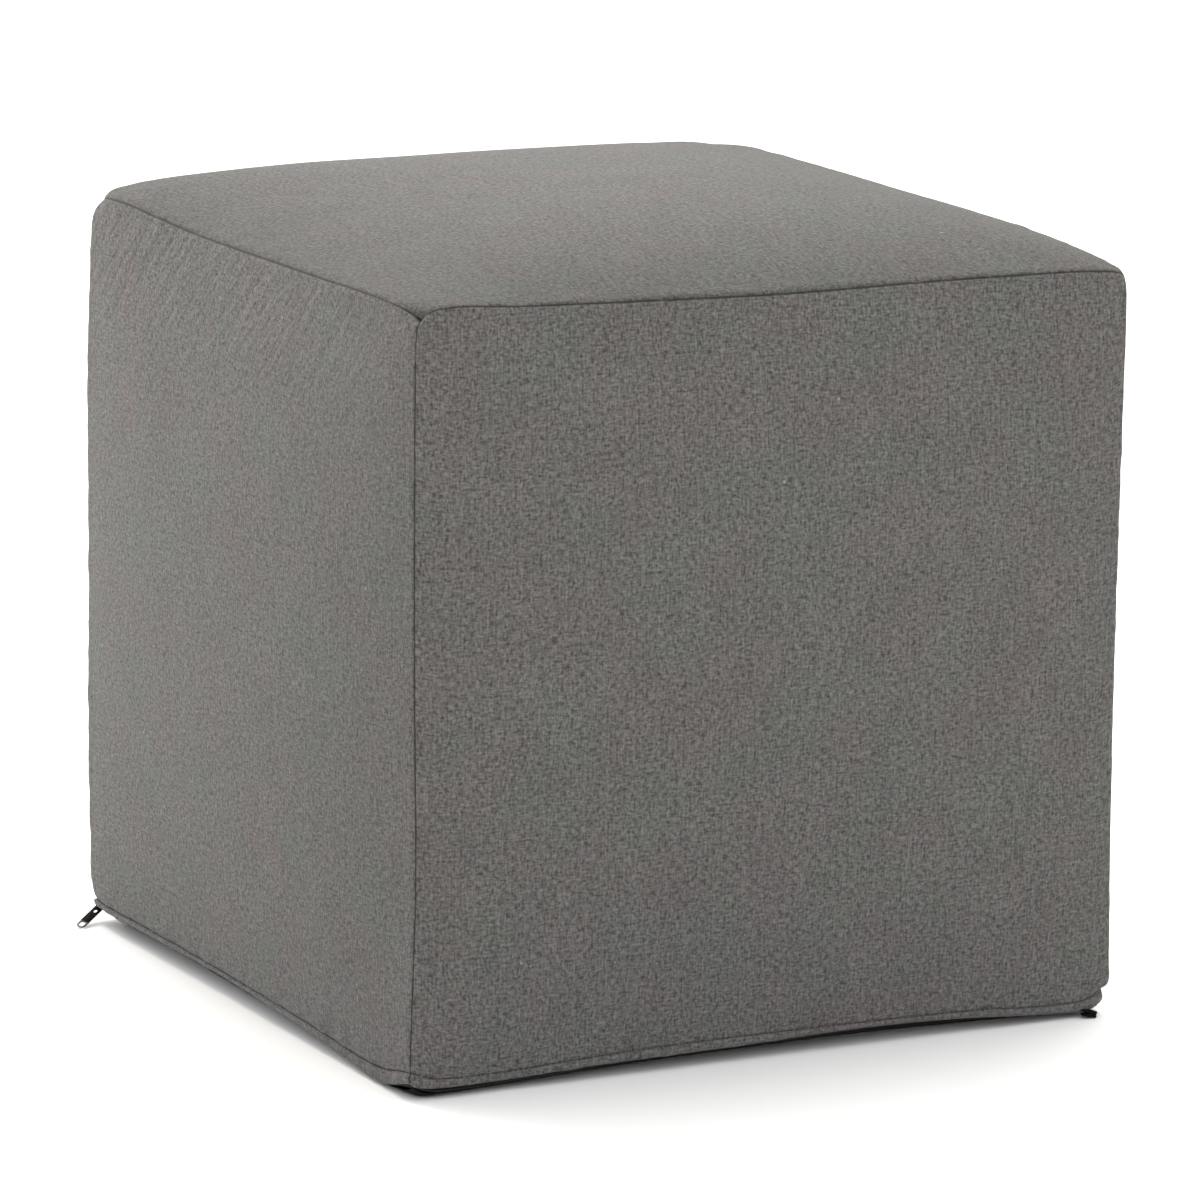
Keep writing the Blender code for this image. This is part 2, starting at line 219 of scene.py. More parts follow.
# Canvas, from its darkest to its palest yarns.
CANVAS_DARK = (0.036, 0.0346, 0.0338)
CANVAS_PALE = (0.141, 0.1355, 0.1305)
CANVAS_YARNS = 1400.0  # per metre
GREENER = (0.945, 1.024, 0.990)
REDDER = (1.046, 0.970, 0.991)
CLOUD_DARK = (0.955, 0.955, 0.955)
CLOUD_PALE = (1.045, 1.045, 1.045)
PALE_FIBRE = (0.34, 0.33, 0.32)
DARK_FIBRE = (0.035, 0.033, 0.031)
# Colour of the seams' dark line: partly their dark thread, partly painted shade in the groove.
SEAM_DARK_AND_SHADE = (0.016, 0.0148, 0.0142)

# Studio lights.
SKY = 1.4
KEY = 2.7
KEY_WIDTH = 50  # degrees
KEY_FROM = Vector((0.35, 1.30, 2.60))
KEY_TINT = (1.0, 0.965, 0.85)
SOFTBOX = 9.0
SOFTBOX_SIZE = 0.8
SOFTBOX_AT = Vector((-0.80, 1.60, 0.70))
SOFTBOX_TO = Vector((-0.22, 0.0, 0.28))
SOFTBOX_TINT = (1.0, 0.93, 0.93)

# Camera, matched to the photographed seams.
CAMERA_TURN = math.radians(-27.5665)
CAMERA_LIFT = math.radians(12.0042)
CAMERA_LEAN = math.radians(0.7603)
CAMERA_TARGET = Vector((0, 0, 0.2332))
CAMERA_AWAY = 5
CAMERA_LENS = 248.753
CAMERA_SHIFT = (0.0082, -0.0072)

# Zip sliders and the pull, placed as they show in the photo.
PULL_WIDTH = 0.0057
PULL_ROOT_WIDTH = 0.0057
PULL_THICKNESS = 0.0007
PULL_TWIST = math.radians(14)  # turned so far about its length
PULL_HOLE = 0.0009
PULL_HOLE_LENGTH = 0.0034
PULL_HOLE_AT = 0.0046  # from the root
PULL_SLOT_WIDTH = 0.0031
PULL_SLOT_LENGTH = 0.0050
PULL_RIM = 0.0012
SHIELD_HALF = 0.0035
SHIELD_ROUND_FROM = 0.0020
SHIELD_ROUND = 0.0025
SHIELD_TAIL = ((-0.0033, 0.0002), (-0.0023, -0.0030), (-0.0019, -0.0045))
SHIELD_THICKNESS = 0.0009
SHIELD_HEIGHTS = (-0.0017, 0.0004)
SHIELD_EDGE = 0.00036
POST_RADIUS = 0.0031
POST_DEPTH = 0.0014
FLANGE_SIZE = (0.0006, 0.0046, 0.0007)
FLANGE_TURN = 0.24
BRIDGE_RADIUS = 0.00042
BRIDGE_REACH = 0.0021
BRIDGE_SHAPE = (1.6, 1.25, 0.42)
SLIDER_LEFT_AT = Vector((-0.2218, 0.2155, 0.0112))
SLIDER_RIGHT_AT = Vector((0.2172, -0.2337, 0.0030))
SLIDER_RIGHT_TILT = math.radians(10)  # its round end down
ARC_STEPS = 24
PULL_ROOT_AT = Vector((-0.2234, 0.2242, 0.0083))
PULL_TIP_AT = Vector((-0.2431, 0.2103, 0.0013))


# ---- Shape of the cover ------------------------------------------------------------------------


def on_curve(points, at):
    """Value at a place on a smooth curve through (place, value) points."""
    last = len(points) - 1
    i = 0
    while i < last - 1 and at > points[i + 1][0]:
        i += 1
    (x0, y0), (x1, y1) = points[i], points[i + 1]
    step = (y1 - y0) / (x1 - x0)

    def slope(j):
        if j <= 0 or j >= last:
            return step
        left = (points[j][1] - points[j - 1][1]) / (points[j][0] - points[j - 1][0])
        right = (points[j + 1][1] - points[j][1]) / (points[j + 1][0] - points[j][0])
        return 0.0 if left * right <= 0 else 2 * left * right / (left + right)

    width = x1 - x0
    s = min(max((at - x0) / width, 0.0), 1.0)
    low, high = slope(i) * width, slope(i + 1) * width
    bend = 3 * (y1 - y0) - 2 * low - high
    return y0 + s * (low + s * (bend + s * (low + high - 2 * (y1 - y0))))


def round_the_foot(lines, x, y):
    """A height given along the four sides, blended across the plan, in metres."""
    s, r = (x + 1) / 2, (y + 1) / 2
    left, right = on_curve(lines["left"], y), on_curve(lines["right"], y)
    front, back = on_curve(lines["front"], x), on_curve(lines["back"], x)
    corners = (
        (1 - s) * (1 - r) * lines["left"][0][1] + s * (1 - r) * lines["right"][0][1]
        + (1 - s) * r * lines["left"][-1][1] + s * r * lines["right"][-1][1]
    )
    return ((1 - s) * left + s * right + (1 - r) * front + r * back - corners) / 1000


def smooth_step(low, high, value):
    """0 up to low and 1 from high on, with a smooth rise between. High may be the lower one."""
    s = min(max((value - low) / (high - low), 0.0), 1.0)
    return s * s * (3 - 2 * s)


def near_corner(corner, x, y, power_x, power_y):
    """1 at a corner, fading along its two sides by these powers."""
    return max(0.0, x * corner["x"]) ** power_x * max(0.0, y * corner["y"]) ** power_y


def pinched(x, y, t):
    """How far the top corners are pulled in."""
    return sum(
        corner["pinch"] * near_corner(corner, x, y, *corner["fade"][:2])
        * max(0.0, t) ** corner["fade"][2]
        for corner in CORNERS.values()
    )


def blended(x, y, read):
    """A corner's value, blended across the plan."""
    return sum(
        read(corner) * (1 + x * corner["x"]) * (1 + y * corner["y"]) / 4
        for corner in CORNERS.values()
    )


def bulge(s, t, rounding):
    """Swell of a panel: 1 in its middle and 0 at its seams."""
    return max(0.0, (1 - s * s) * (1 - t * t)) ** rounding


def domed(x, y, rounding):
    """1 in the middle of the top and 0 at its seams, with a rounding for each of its sides."""
    left, right, front, back = rounding
    return ((1 - x * x) ** (left if x < 0 else right)
            * (1 - y * y) ** (front if y < 0 else back))


def seam_sag(x, y):
    """How far the top seams sag, less away from each."""
    weights = {"left": (1 - x) / 2, "right": (1 + x) / 2, "front": (1 - y) / 2,
               "back": (1 + y) / 2}
    return sum(
        on_curve(SEAM_SAG[side], y if side in ("left", "right") else x) * weight**SAG_SPREAD
        for side, weight in weights.items()
    ) / 1000


def side_outset(s, t):
    """How far a side stands out at place s along it and t up it."""
    drawn_in = TOP_DRAWN_IN * (1 - s * s) * ((1 + t) / 2) ** DRAWN_IN_POWER
    return SIDE_BULGE * bulge(s, t, SIDE_ROUNDING) * (1 + SIDE_HIGH * t) - drawn_in


def seam_outset(x, y, t):
    """How far the upright seams stand out at height t, a smooth curve through five stations."""
    along = (t + 1) / 2 * 4
    at = min(int(along), 3)
    share = along - at
    before, low, high, after = (
        blended(x, y, lambda corner, i=min(max(at + step, 0), 4): corner["seam"][i])
        for step in (-1, 0, 1, 2)
    )
    bend = 2 * before - 5 * low + 4 * high - after + share * (3 * low - before - 3 * high + after)
    return low + share * (high - before + share * bend) / 2


def tucked(x, y, z):
    """How far the corners are drawn in over and along the hem."""
    total = 0.0
    for corner in CORNERS.values():
        height, depth, half, below = corner["tuck"]
        power = SEAM_HALF / TUCK_SPREAD
        amount = below * (1 - smooth_step(height - half, height + half, z))
        amount += depth * math.exp(-(((z - height) / half) ** 2))
        total += amount * near_corner(corner, x, y, power, power)
    return total


def plan_point(x, y, t, z, outset=0.0):
    """Where place x, y of the plan lies at height z, in metres."""
    reach = SEAM_HALF + outset + seam_outset(x, y, t) - tucked(x, y, z)
    return x * (reach + side_outset(y, t)), y * (reach + side_outset(x, t))


def rise(x, y, inset_least=0.0):
    """Share of the way out from the flat of the bottom to the hem."""
    out, along = max(abs(x), abs(y)), min(abs(x), abs(y))
    turn = [1 - (1 - abs(value)) * SEAM_HALF / BELLY_ROUNDING for value in (x, y)]
    if min(turn) > 0:
        out = 1 + (math.hypot(*turn) - 1) * BELLY_ROUNDING / SEAM_HALF
    at_corner = max(inset_least, blended(x, y, lambda corner: corner["flat"]))
    inset = at_corner + (FLAT_INSET_MIDDLE - at_corner) * (1 - along**2)
    flat_to = 1 - inset / SEAM_HALF
    return min(BELLY_MOST, max(0.0, (out - flat_to) / (1 - flat_to)))


def underside(x, y):
    """Height of the cover's underside, behind the pocket for the zip."""
    pocket = round_the_foot(HEM_EDGE, x, y) + POCKET
    share = min(1.0, COVER_RISE * rise(x, y, COVER_INSET_LEAST))
    return UNDER_COVER + (pocket - UNDER_COVER) * share


def base_height(x, y):
    """Height of the base cloth's underside."""
    return max(0.0, round_the_foot(ZIP_EDGE, x, y) + 0.0006) * rise(x, y) ** BASE_RISE


def stations(first, last, length):
    """Places from 0 to length: close together at both ends and even between."""
    cells = CELLS - len(first) - len(last) + 2
    low, high = first[-1], length - last[-1]
    even = [low + (high - low) * i / cells for i in range(1, cells)]
    return [*first, *even, *(length - step for step in reversed(last))]


ACROSS = [place / SEAM_HALF - 1 for place in stations(FROM_SEAM, FROM_SEAM, 2 * SEAM_HALF)]
UNDER = [place / SEAM_HALF - 1 for place in stations(UNDER_HEM, UNDER_HEM, 2 * SEAM_HALF)]


def line_index(value, cells=CELLS):
    return round((value + 1) / 2 * cells)


def at_index(table, value):
    """A station table read at an even place from -1 to 1, between its lines too."""
    along = (value + 1) / 2 * (len(table) - 1)
    i = min(int(along), len(table) - 2)
    return table[i] + (table[i + 1] - table[i]) * (along - i)


def side_row(row, x, y):
    """Height, outset and t of a grid row: the hem from its lower edge, then the panel over it."""
    edge, stitched = round_the_foot(HEM_EDGE, x, y), round_the_foot(STITCH_LINE, x, y)
    if row <= STITCH_ROW:
        share, outset = HEM_SECTION[row]
        return edge + (stitched - edge) * share, outset, -1.0
    rows = CELLS - STITCH_ROW
    fixed_low, fixed_high = len(ABOVE_STITCH), len(FROM_SEAM) - 1
    at = row - STITCH_ROW
    length = SEAM_TOP - stitched
    if at <= fixed_low:
        up = ABOVE_STITCH[at - 1]
    elif at >= rows - fixed_high:
        up = length - FROM_SEAM[rows - at]
    else:
        low, high = ABOVE_STITCH[-1], length - FROM_SEAM[-1]
        up = low + (high - low) * (at - fixed_low) / (rows - fixed_low - fixed_high)
    return stitched + up, 0.0, 2 * up / length - 1


def cover_point(corner):
    """Where a point of the even grid on a cube from -1 to 1 goes on the filled cover."""
    row = line_index(corner.z)
    if row == 0 and max(abs(corner.x), abs(corner.y)) < 0.999:
        x, y = UNDER[line_index(corner.x)], UNDER[line_index(corner.y)]
        edge = round_the_foot(HEM_EDGE, x, y)
        inset_line = min(
            min(line_index(value), CELLS - line_index(value)) for value in (corner.x, corner.y)
        )
        z = edge if inset_line <= HEM_INNER_WALL else underside(x, y)
        px, py = plan_point(x, y, -1.0, z, HEM_SECTION[1][1])
        return Vector((px, py, z))
    x, y = ACROSS[line_index(corner.x)], ACROSS[line_index(corner.y)]
    z, outset, t = side_row(row, x, y)
    px, py = plan_point(x, y, t, z, outset)
    pinch = pinched(x, y, t)
    if row == CELLS:
        z += TOP_CROWN * domed(x, y, TOP_ROUNDING)
    up = (t + 1) / 2
    z -= pinch + blended(x, y, lambda c: c["drop"]) * up + seam_sag(x, y) * up**SAG_DOWN
    return Vector((px - math.copysign(pinch, x), py - math.copysign(pinch, y), z))


# ---- Mesh tools --------------------------------------------------------------------------------


def added(name, bm, *finishes, smooth_to=40):
    """Turns a bmesh into a piece with its finishes, sharp where it bends past an angle."""
    mesh = bpy.data.meshes.new(name)
    bm.to_mesh(mesh)
    bm.free()
    for finish in finishes:
        mesh.materials.append(finish)
    mesh.shade_smooth()
    if smooth_to < 180:
        mesh.set_sharp_from_angle(angle=math.radians(smooth_to))
    piece = bpy.data.objects.new(name, mesh)
    bpy.context.scene.collection.objects.link(piece)
    return piece


def applied(piece):
    """Puts the result of a piece's modifiers into its mesh."""
    bpy.context.view_layer.update()
    mesh = bpy.data.meshes.new_from_object(
        piece.evaluated_get(bpy.context.evaluated_depsgraph_get()))
    old, piece.data = piece.data, mesh
    piece.modifiers.clear()
    bpy.data.meshes.remove(old)
    mesh.name = piece.name
    return piece


def cube_grid(cells):
    """The faces of a cube from -1 to 1, each an even grid."""
    bm = bmesh.new()
    bmesh.ops.create_cube(bm, size=2)
    bmesh.ops.subdivide_edges(bm, edges=bm.edges[:], cuts=cells - 1, use_grid_fill=True)
    return bm


SIDE_OF = {(0, -1): "left", (0, 1): "right", (1, -1): "front", (1, 1): "back", (2, -1): "under",
           (2, 1): "top"}
PANELS = ("left", "right", "front", "back", "under", "top")
AXES = {"left": (1, 2), "right": (1, 2), "front": (0, 2), "back": (0, 2), "under": (0, 1),
        "top": (0, 1)}


def cut_panels(bm):
    """Marks which of the six panels each face is cut from, and where on it each corner lies."""
    panel_layer = bm.faces.layers.int.new("panel")
    place = bm.loops.layers.uv.new("place")
    for face in bm.faces:
        centre = face.calc_center_median()
        axis = max(range(3), key=lambda i: abs(centre[i]))
        panel = SIDE_OF[axis, 1 if centre[axis] > 0 else -1]
        face[panel_layer] = PANELS.index(panel)
        a, b = AXES[panel]
        for loop in face.loops:
            loop[place].uv = (loop.vert.co[a], loop.vert.co[b])


def sewn_share(corner):
    """1 where the cover is held by a seam, the hem or the floor, less beside them, else 0."""
    lines = [min(line_index(value), CELLS - line_index(value)) for value in corner]
    if line_index(corner.z) <= STITCH_ROW + 1:
        return 1.0
    on_panel = sorted(lines)[1]
    return (1.0, 0.8, 0.4, 0.15)[on_panel] if on_panel < 4 else 0.0


def swollen(piece):
    """Fills the cover as air would, by cloth simulation, and keeps the result in its mesh."""
    start = [vert.co.copy() for vert in piece.data.vertices]
    cloth = piece.modifiers.new("filling", "CLOTH")
    cloth.settings.quality = 4
    cloth.settings.mass = 0.3
    cloth.settings.tension_stiffness = 40
    cloth.settings.compression_stiffness = 20
    cloth.settings.shear_stiffness = 10
    cloth.settings.bending_stiffness = 2.0
    cloth.settings.use_pressure = True
    cloth.settings.uniform_pressure_force = PRESSURE
    cloth.settings.vertex_group_mass = "sewn"
    cloth.settings.pin_stiffness = 1.0
    cloth.settings.effector_weights.gravity = 0
    cloth.collision_settings.use_collision = False
    cloth.collision_settings.use_self_collision = False
    cloth.point_cache.frame_start, cloth.point_cache.frame_end = 1, SETTLE_FRAMES
    scene = bpy.context.scene
    for step in range(1, SETTLE_FRAMES + 1):
        scene.frame_set(step)
    applied(piece)
    scene.frame_set(1)
    furthest = 0.0
    for vert, before in zip(piece.data.vertices, start):
        moved = vert.co - before
        furthest = max(furthest, moved.length)
        if moved.length > MOST_MOVED:
            vert.co = before + moved * (MOST_MOVED / moved.length)
    print("cover swelled by up to %.1f mm" % (furthest * 1000))


def panel_places(bm):
    """For each vertex, the panels it lies on and where on them."""
    panel_layer, place = bm.faces.layers.int["panel"], bm.loops.layers.uv["place"]
    places = {}
    for face in bm.faces:
        panel = PANELS[face[panel_layer]]
        for loop in face.loops:
            uv = loop[place].uv
            places.setdefault(loop.vert, {})[panel] = (uv.x, uv.y)
    return places


def from_seams(panel, a, b):
    """Distances from a place on a panel to its nearest seam and to the stitching of the hem."""
    beside = SEAM_HALF * (1 - abs(at_index(ACROSS, a)))
    if panel == "top":
        return min(beside, SEAM_HALF * (1 - abs(at_index(ACROSS, b)))), 1.0
    if panel == "under":
        return 1.0, 1.0
    row = (b + 1) / 2 * CELLS
    down = CELLS - row
    last = len(FROM_SEAM) - 1
    under_top = on_curve(tuple(enumerate(FROM_SEAM)), down) if down <= last else 1.0
    up = row - STITCH_ROW
    over_stitch = on_curve(tuple(enumerate((0.0, *ABOVE_STITCH))), up) if 0 <= up <= 6 else 1.0
    return min(beside, under_top), over_stitch


def dressed(bm):
    """The finer shape of the sewn cover: creased seams, full shoulders, puckers, uneven filling;
    with masks for the dark of its seams, partly painted shade, and for the painted shade of its top
    and left side.
    """
    seam_dark_and_shade = bm.verts.layers.float.new("seam_dark_and_shade")
    drag = bm.verts.layers.float.new("drag")
    painted_shade = bm.verts.layers.float.new("painted_shade")
    bm.normal_update()
    moves = []
    for vert, found in panel_places(bm).items():
        if "under" in found and len(found) == 1:
            continue
        gaps = {panel: from_seams(panel, a, b) for panel, (a, b) in found.items()}
        seam = min(gap[0] for gap in gaps.values())
        stitch = min(gap[1] for gap in gaps.values())
        place = vert.co
        broken = CREASE_BROKEN * noise.noise(place * CREASE_BREAKS)
        on_seam = math.exp(-((seam / CREASE_WIDTH) ** 2))
        on_stitch = math.exp(-((stitch / CREASE_WIDTH) ** 2))
        # The dark of the seams and the stitched line: partly their own dark thread, partly painted
        # shade in their grooves.
        vert[seam_dark_and_shade] = max(0.0, max(on_seam, STITCH_DARK * on_stitch) * (1 + broken))
        if "top" in found:
            a, b = (at_index(ACROSS, value) for value in found["top"])
            # Painted shade on the top, darker towards its seams, with painted light towards its
            # back.
            vert[painted_shade] = TOP_PAINTED_SHADE * (1 - domed(a, b, TOP_SHADE_ROUNDING)) - BACK_PAINTED_LIGHT * max(0.0, b)
        if len(found) == 1 and "left" in found:
            a, b = found["left"]
            # Painted shade on the left side, darker towards its front.
            vert[painted_shade] = LEFT_PAINTED_SHADE_ALL + LEFT_PAINTED_SHADE * smooth_step(
                LEFT_PAINTED_SHADE_FROM, LEFT_PAINTED_SHADE_FULL, a)
            below = SEAM_TOP - place.z
            vert[drag] = (
                smooth_step(DRAG_REACH, DRAG_FULL, below) * smooth_step(-1.0, DRAG_FRONT, a)
                * smooth_step(0.0, DRAG_FROM, below)
            )
        inward = max(CREASE_DEPTH * on_seam, STITCH_DEPTH * on_stitch)
        if place.z < HEM_WAVES_UNDER:
            inward += HEM_WAVE * noise.noise(place * HEM_WAVES)
        full = SHOULDER * math.exp(-(((seam - SHOULDER_AT) / SHOULDER_WIDTH) ** 2))
        beside = min(seam, stitch)
        pucker = PUCKER * math.exp(-beside / PUCKER_REACH) * smooth_step(0.0, PUCKER_FROM, beside)
        pucker *= noise.noise(place * PUCKERS)
        uneven = UNEVEN * noise.noise(place * UNEVEN_WAVES + UNEVEN_START)
        uneven *= smooth_step(0, UNEVEN_FROM, beside)
        moves.append((vert, vert.normal * (full + 2 * pucker + uneven - inward)))
    for vert, move in moves:
        vert.co += move


def weave_map(bm):
    """Lays the weave on each panel by the real distance over the cloth, in metres."""
    panel_layer, place = bm.faces.layers.int["panel"], bm.loops.layers.uv["place"]
    weave = bm.loops.layers.uv.new("weave")
    cells = 2 * CELLS
    for number in range(len(PANELS)):
        verts = {}
        faces = [face for face in bm.faces if face[panel_layer] == number]
        for face in faces:
            for loop in face.loops:
                uv = loop[place].uv
                verts[line_index(uv.x, cells), line_index(uv.y, cells)] = loop.vert.co
        across, up = {}, {}
        for j in range(cells + 1):
            total, run = 0.0, [0.0]
            for i in range(1, cells + 1):
                total += (verts[i, j] - verts[i - 1, j]).length
                run.append(total)
            for i in range(cells + 1):
                across[i, j] = run[i] - run[cells // 2]
        for i in range(cells + 1):
            total, run = 0.0, [0.0]
            for j in range(1, cells + 1):
                total += (verts[i, j] - verts[i, j - 1]).length
                run.append(total)
            for j in range(cells + 1):
                up[i, j] = run[j] - run[cells // 2]
        for face in faces:
            for loop in face.loops:
                uv = loop[place].uv
                key = line_index(uv.x, cells), line_index(uv.y, cells)
                loop[weave].uv = (across[key] + 3 * number, up[key] + number)


def stitch_paths(bm):
    """The stitched line of the hem along each side, as places and outward directions."""
    paths = {side: {} for side in PANELS[:4]}
    for vert, found in panel_places(bm).items():
        for side, (a, b) in found.items():
            if side in paths and line_index(b, 2 * CELLS) == 2 * STITCH_ROW:
                paths[side][a] = (vert.co.copy(), vert.normal.copy())
    return {side: [path[a] for a in sorted(path)] for side, path in paths.items()}


def sewn_cover(canvas):
    """The filled cover, and the stitched line round its hem."""
    bm = cube_grid(CELLS)
    cut_panels(bm)
    held = [sewn_share(vert.co) for vert in bm.verts]
    for vert in bm.verts:
        vert.co = cover_point(vert.co)
    bmesh.ops.recalc_face_normals(bm, faces=bm.faces)
    cover = added("canvas_cover", bm, canvas, smooth_to=180)
    group = cover.vertex_groups.new(name="sewn")
    for index, share in enumerate(held):
        if share:
            group.add([index], share, "REPLACE")
    swollen(cover)
    finer = cover.modifiers.new("finer", "SUBSURF")
    finer.levels = finer.render_levels = 1
    finer.uv_smooth = "NONE"
    applied(cover)
    cover.vertex_groups.clear()
    bm = bmesh.new()
    bm.from_mesh(cover.data)
    dressed(bm)
    weave_map(bm)
    bm.normal_update()
    paths = stitch_paths(bm)
    bm.to_mesh(cover.data)
    bm.free()
    return cover, paths


# ---- Base, stitching, zip ----------------------------------------------------------------------


def base_cloth(finish):
    """The black cloth that closes the bottom, flat on the floor and rising to the hem."""
    bm = bmesh.new()
    bmesh.ops.create_grid(bm, x_segments=CELLS, y_segments=CELLS, size=1)
    for vert in bm.verts:
        x, y = ACROSS[line_index(vert.co.x)], ACROSS[line_index(vert.co.y)]
        inset_x = BASE_INSET_ZIP if x < 0 else BASE_INSET_SEWN
        inset_y = BASE_INSET_ZIP if y < 0 else BASE_INSET_SEWN
        x *= 1 - inset_x / SEAM_HALF
        y *= 1 - inset_y / SEAM_HALF
        z = base_height(x, y)
        px, py = plan_point(x, y, -1.0, z)
        vert.co = (px, py, z)
    bmesh.ops.recalc_face_normals(bm, faces=bm.faces)
    raised = bmesh.ops.extrude_face_region(bm, geom=bm.faces[:])
    top = [item for item in raised["geom"] if isinstance(item, bmesh.types.BMVert)]
    bmesh.ops.translate(bm, verts=top, vec=(0, 0, CLOTH))
    bmesh.ops.recalc_face_normals(bm, faces=bm.faces)
    return added("base_cloth", bm, finish)


def spaced(points, pitch):
    """Even places along a line of points: where they are, the way on, and the share between."""
    found, ahead = [], pitch / 2
    for here, following in zip(points, points[1:]):
        step = (following[0] - here[0]).length
        while ahead <= step:
            share = ahead / step
            found.append((here[0].lerp(following[0], share), (following[0] - here[0]) / step,
                          here[1].lerp(following[1], share).normalized()))
            ahead += pitch
        ahead -= step
    return found


def repeated(shape, places):
    """One bmesh with a small shape at each place: its Y along the line and its Z outwards."""
    pattern = bpy.data.meshes.new("pattern")
    shape.to_mesh(pattern)
    shape.free()
    bm = bmesh.new()
    for place, along, outward in places:
        across = along.cross(outward).normalized()
        turned = Matrix((across, along, across.cross(along))).transposed().to_4x4()
        first = len(bm.verts)
        bm.from_mesh(pattern)
        bm.verts.ensure_lookup_table()
        bmesh.ops.transform(bm, matrix=Matrix.Translation(place) @ turned, verts=bm.verts[first:])
    bpy.data.meshes.remove(pattern)
    return bm


def hem_stitching(paths, finish):
    """The stitches round the hem, each sunk at its two ends."""
    stitch = bmesh.new()
    bmesh.ops.create_uvsphere(stitch, u_segments=6, v_segments=6, radius=1)
    bmesh.ops.rotate(stitch, matrix=Matrix.Rotation(math.pi / 2, 3, "X"), verts=stitch.verts)
    bmesh.ops.scale(stitch, vec=(STITCH_WIDTH / 2, STITCH_LENGTH / 2, STITCH_HEIGHT / 2),
                    verts=stitch.verts)
    places = []
    for path in paths.values():
        lifted = [(place + outward * STITCH_LIFT, outward) for place, outward in path]
        places.extend(spaced(lifted, STITCH_PITCH))
    return added("hem_stitches", repeated(stitch, places), finish)


def zip_path():
    """The line of the zip under the hem, from the back left corner to the front right one."""
    side = 1 - TAPE_INSET / SEAM_HALF
    turn = TAPE_TURN / SEAM_HALF
    left_end, front_end = 1 - TAPE_END_LEFT / SEAM_HALF, 1 - TAPE_END_FRONT / SEAM_HALF
    plan = [(-side, left_end - (left_end + side - turn) * i / TAPE_STEPS)
            for i in range(TAPE_STEPS)]
    for i in range(TURN_STEPS + 1):
        angle = math.pi / (2 * TURN_STEPS) * i
        plan.append((-side + turn * (1 - math.cos(angle)), -side + turn * (1 - math.sin(angle))))
    plan.extend((-side + turn + (front_end + side - turn) * i / TAPE_STEPS, -side)
                for i in range(1, TAPE_STEPS + 1))
    points = []
    for x, y in plan:
        z = round_the_foot(ZIP_EDGE, max(-1, x / side), max(-1, y / side))
        px, py = plan_point(x, y, -1.0, z)
        points.append(Vector((px, py, max(z, 0.0004))))
    path = []
    for i, point in enumerate(points):
        along = points[min(i + 1, len(points) - 1)] - points[max(i - 1, 0)]
        path.append((point, Vector((along.y, -along.x, 0)).normalized()))
    return path


def zip_closure(tape_finish, coil_finish):
    """The closed zip: its woven tape on edge behind the hem, and the coil along its face."""
    path = zip_path()
    bm = bmesh.new()
    rings = []
    for point, outward in path:
        low = point - outward * TAPE_THICKNESS
        high = Vector((0, 0, TAPE_HEIGHT))
        verts = [bm.verts.new(place) for place in (point, low, low + high, point + high)]
        rings.append([bm.edges.new((verts[i], verts[(i + 1) % 4])) for i in range(4)])
    for ring, following in zip(rings, rings[1:]):
        bmesh.ops.bridge_loops(bm, edges=ring + following)
    for ring in (rings[0], rings[-1]):
        bmesh.ops.contextual_create(bm, geom=ring)
    bmesh.ops.recalc_face_normals(bm, faces=bm.faces)
    tape = added("zip_tape_black", bm, tape_finish)
    tooth = bmesh.new()
    bmesh.ops.create_cube(tooth, size=1)
    bmesh.ops.scale(tooth, vec=(2.2 * COIL_RADIUS, 0.78 * COIL_PITCH, 1.6 * COIL_RADIUS),
                    verts=tooth.verts)
    bmesh.ops.bevel(tooth, geom=tooth.edges[:], offset=0.00026, offset_type="OFFSET",
                    affect="EDGES", segments=1, profile=0.5, material=-1)
    line = [(point + Vector((0, 0, COIL_HEIGHT)) + outward * 0.0001, outward)
            for point, outward in path]
    coil = added("zip_coil", repeated(tooth, spaced(line, COIL_PITCH)), coil_finish)
    return tape, coil


def plate(outline, thickness, height):
    """A flat plate with this outline, its underside at a height."""
    bm = bmesh.new()
    face = bm.faces.new([bm.verts.new((x, y, height)) for x, y in outline])
    raised = bmesh.ops.extrude_face_region(bm, geom=[face])
    top = [item for item in raised["geom"] if isinstance(item, bmesh.types.BMVert)]
    bmesh.ops.translate(bm, verts=top, vec=(0, 0, thickness))
    bmesh.ops.recalc_face_normals(bm, faces=bm.faces)
    return bm


def joined(*parts):
    """One bmesh of several, which it frees."""
    whole = bmesh.new()
    for part in parts:
        mesh = bpy.data.meshes.new("part")
        part.to_mesh(mesh)
        part.free()
        whole.from_mesh(mesh)
        bpy.data.meshes.remove(mesh)
    return whole


def softened(bm, offset, angle=30, segments=2):
    """Rounds the sharp edges of a bmesh."""
    sharp = [edge for edge in bm.edges
             if len(edge.link_faces) == 2 and edge.calc_face_angle() > math.radians(angle)]
    bmesh.ops.bevel(bm, geom=sharp, offset=offset, offset_type="OFFSET", affect="EDGES",
                    segments=segments, profile=0.5, material=-1, clamp_overlap=True)
    return bm


